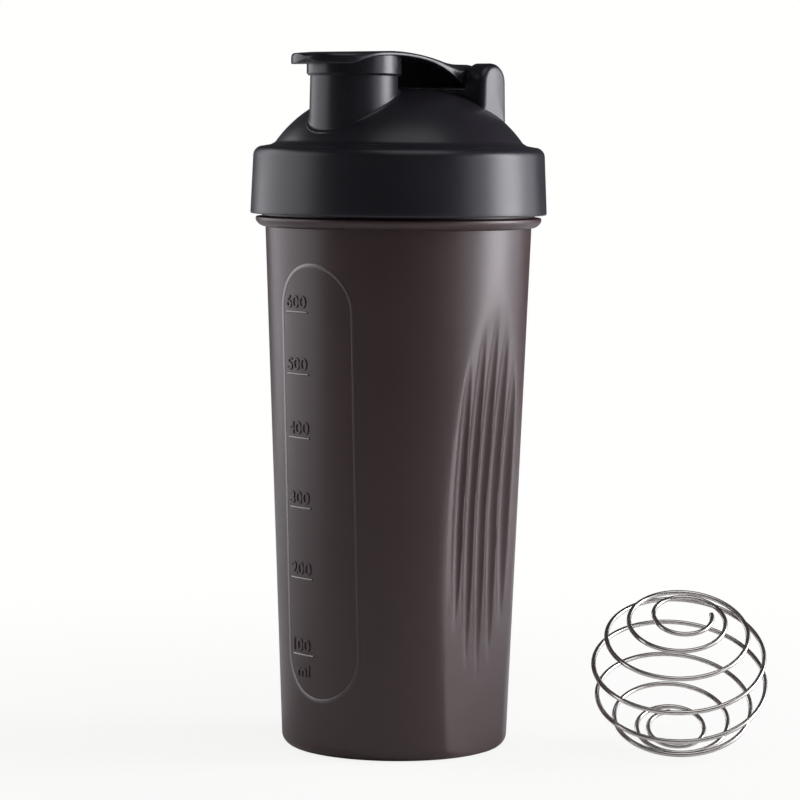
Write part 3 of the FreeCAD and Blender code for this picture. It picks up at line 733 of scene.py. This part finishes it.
# ---------------------------------------------------------------- whisk ball
def make_whisk_ball():
    """One drawn wire wound into a right-handed spiral, with a small loop at each end."""
    turned = np.linspace(0, BALL_HALF_TURNS, int(BALL_HALF_TURNS * 40) + 1)
    t = np.clip((turned - BALL_TOP_LOOP) / BALL_SPIRAL, 0, 1)
    eased = t - BALL_CROWDING * np.sin(2 * math.pi * t) / (2 * math.pi)
    polar = np.radians(BALL_END_ANGLE + (180 - 2 * BALL_END_ANGLE) * eased)
    turn = math.radians(BALL_START) - math.pi * turned
    rise = np.cos(polar)
    height = rise * (BALL_FLATNESS - BALL_END_PRESS * np.abs(rise) ** 3)
    path = BALL_R * np.column_stack([np.sin(polar) * np.cos(turn), np.sin(polar) * np.sin(turn), height])
    lean = math.radians(BALL_LEAN_TOWARDS)
    tilt = Matrix.Rotation(math.radians(BALL_LEAN), 3, Vector((-math.sin(lean), math.cos(lean), 0)))
    path = path @ np.array(tilt.transposed())
    centre = (ball_low + ball_high) / 2
    seat = WIRE_R - path[:, 2].min()
    path += np.array([centre.x, centre.y, seat])
    heading = np.gradient(path, axis=0)
    heading /= np.linalg.norm(heading, axis=1)[:, None]
    outward = path - np.array([centre.x, centre.y, seat])
    side = np.cross(heading, outward)
    side /= np.linalg.norm(side, axis=1)[:, None]
    up = np.cross(side, heading)
    around = np.linspace(0, 2 * math.pi, WIRE_COLUMNS, endpoint=False)

    def wire_ring(middle, k, share):
        return [middle + WIRE_R * share * (math.cos(a) * side[k] + math.sin(a) * up[k]) for a in around]

    rings = [wire_ring(path[0] + heading[0] * WIRE_R * back, 0, share) for back, share in WIRE_END]
    rings += [wire_ring(path[k], k, 1.0) for k in range(len(path))]
    for back, share in WIRE_END[::-1]:
        rings.append(wire_ring(path[-1] - heading[-1] * WIRE_R * back, -1, share))
    return shell("whisk_wire", rings, 60.0)


# ---------------------------------------------------------------- materials
def new_material(name):
    material = bpy.data.materials.new(name)
    material.use_nodes = True
    tree = material.node_tree
    return material, tree, tree.nodes["Principled BSDF"]


def add_noise(tree, scale, detail=4.0, roughness=0.5):
    where = tree.nodes.new("ShaderNodeTexCoord")
    noise = tree.nodes.new("ShaderNodeTexNoise")
    noise.inputs["Scale"].default_value = scale
    noise.inputs["Detail"].default_value = detail
    noise.inputs["Roughness"].default_value = roughness
    tree.links.new(where.outputs["Object"], noise.inputs["Vector"])
    return noise


def add_range(tree, source, low, high):
    """A 0..1 value spread over low..high."""
    spread = tree.nodes.new("ShaderNodeMapRange")
    spread.inputs["From Min"].default_value = 0.3
    spread.inputs["From Max"].default_value = 0.7
    spread.inputs["To Min"].default_value = low
    spread.inputs["To Max"].default_value = high
    tree.links.new(source, spread.inputs["Value"])
    return spread.outputs["Result"]


def add_bump(tree, shader, source, strength, distance):
    bump = tree.nodes.new("ShaderNodeBump")
    bump.inputs["Strength"].default_value = strength
    bump.inputs["Distance"].default_value = distance
    tree.links.new(source, bump.inputs["Height"])
    tree.links.new(bump.outputs["Normal"], shader.inputs["Normal"])


def add_tint(tree, shader, source, dark, light):
    mix = tree.nodes.new("ShaderNodeMix")
    mix.data_type = "RGBA"
    mix.inputs["A"].default_value = (*dark, 1)
    mix.inputs["B"].default_value = (*light, 1)
    tree.links.new(source, mix.inputs["Factor"])
    tree.links.new(mix.outputs["Result"], shader.inputs["Base Color"])


def moulded_plastic(name, dark, light, gloss, grain):
    """Injection-moulded plastic: a fine grain, faint flow patches and slightly uneven gloss."""
    material, tree, shader = new_material(name)
    fine = add_noise(tree, 2600.0, 3.0)
    cloudy = add_noise(tree, 55.0, 3.0)
    add_tint(tree, shader, cloudy.outputs["Fac"], dark, light)
    tree.links.new(add_range(tree, cloudy.outputs["Fac"], gloss[0], gloss[1]), shader.inputs["Roughness"])
    add_bump(tree, shader, fine.outputs["Fac"], grain, 0.00012)
    shader.inputs["Specular IOR Level"].default_value = 0.38
    shader.inputs["IOR"].default_value = 1.49
    return material


def smoked_plastic(name, tint_dark, tint_light, clear, gloss):
    """Smoke-tinted translucent plastic, hazy inside, with a soft outer sheen."""
    material, tree, shader = new_material(name)
    cloudy = add_noise(tree, 38.0, 3.0)
    fine = add_noise(tree, 900.0, 2.0)
    add_tint(tree, shader, cloudy.outputs["Fac"], tint_dark, tint_light)
    tree.links.new(add_range(tree, cloudy.outputs["Fac"], gloss[0], gloss[1]), shader.inputs["Roughness"])
    add_bump(tree, shader, fine.outputs["Fac"], 0.06, 0.0001)
    shader.inputs["Transmission Weight"].default_value = clear
    shader.inputs["IOR"].default_value = 1.49
    shader.inputs["Specular IOR Level"].default_value = 0.45
    return material


def drawn_steel(name):
    """Bright stainless wire with fine drawing marks."""
    material, tree, shader = new_material(name)
    fine = add_noise(tree, 1800.0, 3.0)
    patchy = add_noise(tree, 120.0, 2.0)
    add_tint(tree, shader, patchy.outputs["Fac"], (0.50, 0.47, 0.45), (0.66, 0.63, 0.60))
    tree.links.new(add_range(tree, patchy.outputs["Fac"], 0.16, 0.27), shader.inputs["Roughness"])
    add_bump(tree, shader, fine.outputs["Fac"], 0.08, 0.0001)
    shader.inputs["Metallic"].default_value = 1.0
    return material


def silicone(name):
    material, tree, shader = new_material(name)
    fine = add_noise(tree, 1500.0, 3.0)
    add_tint(tree, shader, fine.outputs["Fac"], (0.09, 0.09, 0.10), (0.12, 0.12, 0.13))
    tree.links.new(add_range(tree, fine.outputs["Fac"], 0.55, 0.68), shader.inputs["Roughness"])
    add_bump(tree, shader, fine.outputs["Fac"], 0.12, 0.0001)
    return material


# ---------------------------------------------------------------- build, ride, replace
def place(piece, body, slot, material, *nodes):
    piece.data.materials.clear()
    piece.data.materials.append(material)
    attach(piece, body)
    if nodes:
        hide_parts(*nodes)


cup_material = smoked_plastic("smoked_cup", (0.040, 0.020, 0.020), (0.052, 0.027, 0.027),
                              clear=0.15, gloss=(0.32, 0.38))
mark_material = smoked_plastic("smoked_marks", (0.042, 0.024, 0.024), (0.054, 0.031, 0.031),
                               clear=0.12, gloss=(0.36, 0.42))
lid_material = moulded_plastic("lid_black", (0.010, 0.009, 0.013), (0.014, 0.012, 0.017),
                               gloss=(0.30, 0.36), grain=0.10)
cap_material = moulded_plastic("cap_black", (0.009, 0.009, 0.012), (0.012, 0.012, 0.016),
                               gloss=(0.24, 0.30), grain=0.07)
steel_material = drawn_steel("whisk_steel_wire")
seal_material = silicone("seal_silicone")

cup = make_cup()
place(cup, "cup", "cup_plastic", cup_material, "cup")
for mark in make_scale():
    place(mark, "cup", "cup_plastic", mark_material)
place(make_lid(), "lid", "lid_plastic", lid_material, "lid")
place(make_seal(), "seal", "seal_rubber", seal_material, "lid_seal")
place(make_flip_cap(), "cap", "cap_plastic", cap_material, "flip_cap")
place(make_whisk_ball(), "ball", "whisk_steel", steel_material, "whisk_ball")

# ---------------------------------------------------------------- studio
FLOOR_RADII = (10.0, 400.0, 1200.0, 6000.0)
FLOOR_COLUMNS = 96
FLOOR_GLOW_FROM = 80.0     # the floor turns from lit to evenly white between these distances
FLOOR_GLOW_TO = 400.0
FLOOR_GLOW_SHARE = 0.86    # of the white at the first of them
CAMERA_AZIMUTH = 40.0
CAMERA_DISTANCE = 1100.0
CAMERA_HEIGHT = 200.0
CAMERA_AIM_Z = 112.8
CAMERA_AIM_SIDE = 1.0
CAMERA_ROLL = 0.5
CAMERA_LENS = 152.5
SOFTBOX_AIM_Z = 110.0
# name, azimuth, distance, height, width, tall, power, colour
SOFTBOXES = (
    ("softbox_right", CAMERA_AZIMUTH + 92, 900, 160, 420, 1000, 14.0, (0.96, 0.95, 1.0)),
    ("softbox_right_wide", CAMERA_AZIMUTH + 92, 1050, 160, 1700, 1000, 10.0, (0.92, 0.93, 1.0)),
    ("softbox_left", CAMERA_AZIMUTH - 106, 900, 240, 1300, 1000, 9.0, (0.96, 0.95, 1.0)),
    ("softbox_top", CAMERA_AZIMUTH + 20, 500, 1100, 800, 800, 3.0, (1.0, 1.0, 1.0)),
)


def make_floor():
    """A pale floor, evenly white for the camera away from the object."""
    angles = np.linspace(0, 2 * math.pi, FLOOR_COLUMNS, endpoint=False)
    points = [(r * math.cos(a), r * math.sin(a), 0.0) for r in FLOOR_RADII for a in angles] + [(0, 0, 0)]
    faces = []
    for i in range(len(FLOOR_RADII) - 1):
        low, high = i * FLOOR_COLUMNS, (i + 1) * FLOOR_COLUMNS
        for k in range(FLOOR_COLUMNS):
            m = (k + 1) % FLOOR_COLUMNS
            faces.append((low + k, high + k, high + m, low + m))
    faces += [(len(points) - 1, k, (k + 1) % FLOOR_COLUMNS) for k in range(FLOOR_COLUMNS)]
    floor = make_object("floor", points, faces)
    material, tree, shader = new_material("pale_floor")
    shader.inputs["Base Color"].default_value = (0.9, 0.9, 0.895, 1)
    shader.inputs["Roughness"].default_value = 0.9
    shader.inputs["Specular IOR Level"].default_value = 0.1
    glow = tree.nodes.new("ShaderNodeEmission")
    glow.inputs["Color"].default_value = (1.0, 1.0, 0.99, 1)
    mix = tree.nodes.new("ShaderNodeMixShader")
    where = tree.nodes.new("ShaderNodeTexCoord")
    length = tree.nodes.new("ShaderNodeVectorMath")
    length.operation = "LENGTH"
    fade = tree.nodes.new("ShaderNodeMapRange")
    fade.interpolation_type = "SMOOTHSTEP"
    fade.inputs["From Min"].default_value = FLOOR_GLOW_FROM * MM
    fade.inputs["To Min"].default_value = FLOOR_GLOW_SHARE
    fade.inputs["From Max"].default_value = FLOOR_GLOW_TO * MM
    tree.links.new(where.outputs["Object"], length.inputs[0])
    tree.links.new(length.outputs["Value"], fade.inputs["Value"])
    path = tree.nodes.new("ShaderNodeLightPath")
    seen = tree.nodes.new("ShaderNodeMath")
    seen.operation = "MULTIPLY"
    tree.links.new(fade.outputs["Result"], seen.inputs[0])
    tree.links.new(path.outputs["Is Camera Ray"], seen.inputs[1])
    tree.links.new(seen.outputs["Value"], mix.inputs["Fac"])
    tree.links.new(shader.outputs["BSDF"], mix.inputs[1])
    tree.links.new(glow.outputs["Emission"], mix.inputs[2])
    tree.links.new(mix.outputs["Shader"], tree.nodes["Material Output"].inputs["Surface"])
    floor.data.materials.append(material)


def make_world():
    """A white room for the camera and for light that passes through the cup; dimmer for reflections."""
    world = bpy.data.worlds.new("studio")
    bpy.context.scene.world = world
    world.use_nodes = True
    tree = world.node_tree
    tree.nodes.clear()
    out = tree.nodes.new("ShaderNodeOutputWorld")
    seen = tree.nodes.new("ShaderNodeBackground")
    seen.inputs["Color"].default_value = (1.0, 1.0, 0.99, 1)
    lit = tree.nodes.new("ShaderNodeBackground")
    lit.inputs["Color"].default_value = (0.95, 0.96, 1.0, 1)
    lit.inputs["Strength"].default_value = 0.06
    path = tree.nodes.new("ShaderNodeLightPath")
    either = tree.nodes.new("ShaderNodeMath")
    either.operation = "MAXIMUM"
    mix = tree.nodes.new("ShaderNodeMixShader")
    tree.links.new(path.outputs["Is Camera Ray"], either.inputs[0])
    tree.links.new(path.outputs["Is Transmission Ray"], either.inputs[1])
    tree.links.new(either.outputs["Value"], mix.inputs["Fac"])
    tree.links.new(lit.outputs["Background"], mix.inputs[1])
    tree.links.new(seen.outputs["Background"], mix.inputs[2])
    tree.links.new(mix.outputs["Shader"], out.inputs["Surface"])


def compass(azimuth, distance, height):
    """A point at an azimuth measured like the camera's, in metres."""
    a = math.radians(azimuth)
    return Vector((distance * math.sin(a), -distance * math.cos(a), height)) * MM


def make_softbox(name, azimuth, distance, height, width, tall, power, colour):
    light = bpy.data.lights.new(name, "AREA")
    light.shape = "RECTANGLE"
    light.size = width * MM
    light.size_y = tall * MM
    light.energy = power
    light.color = colour
    obj = bpy.data.objects.new(name, light)
    obj.location = compass(azimuth, distance, height)
    aim = Vector((0, 0, SOFTBOX_AIM_Z * MM)) - obj.location
    obj.rotation_euler = aim.to_track_quat("-Z", "Y").to_euler()
    bpy.context.scene.collection.objects.link(obj)


def make_camera():
    a = math.radians(CAMERA_AZIMUTH)
    side = Vector((math.cos(a), math.sin(a), 0))
    eye = compass(CAMERA_AZIMUTH, CAMERA_DISTANCE, CAMERA_HEIGHT)
    aim = (Vector((0, 0, CAMERA_AIM_Z)) + side * CAMERA_AIM_SIDE) * MM
    forward = (aim - eye).normalized()
    right = forward.cross(Vector((0, 0, 1))).normalized()
    up = right.cross(forward)
    roll = Matrix.Rotation(math.radians(CAMERA_ROLL), 3, "Z")
    axes = Matrix((right, up, -forward)).transposed() @ roll
    data = bpy.data.cameras.new("camera")
    data.lens = CAMERA_LENS
    data.sensor_width = 36.0
    data.clip_start = 0.01
    data.clip_end = 50.0
    camera = bpy.data.objects.new("camera", data)
    camera.matrix_world = Matrix.Translation(eye) @ axes.to_4x4()
    bpy.context.scene.collection.objects.link(camera)
    bpy.context.scene.camera = camera


make_floor()
make_world()
for softbox in SOFTBOXES:
    make_softbox(*softbox)
make_camera()
bpy.context.scene.view_settings.view_transform = "Standard"
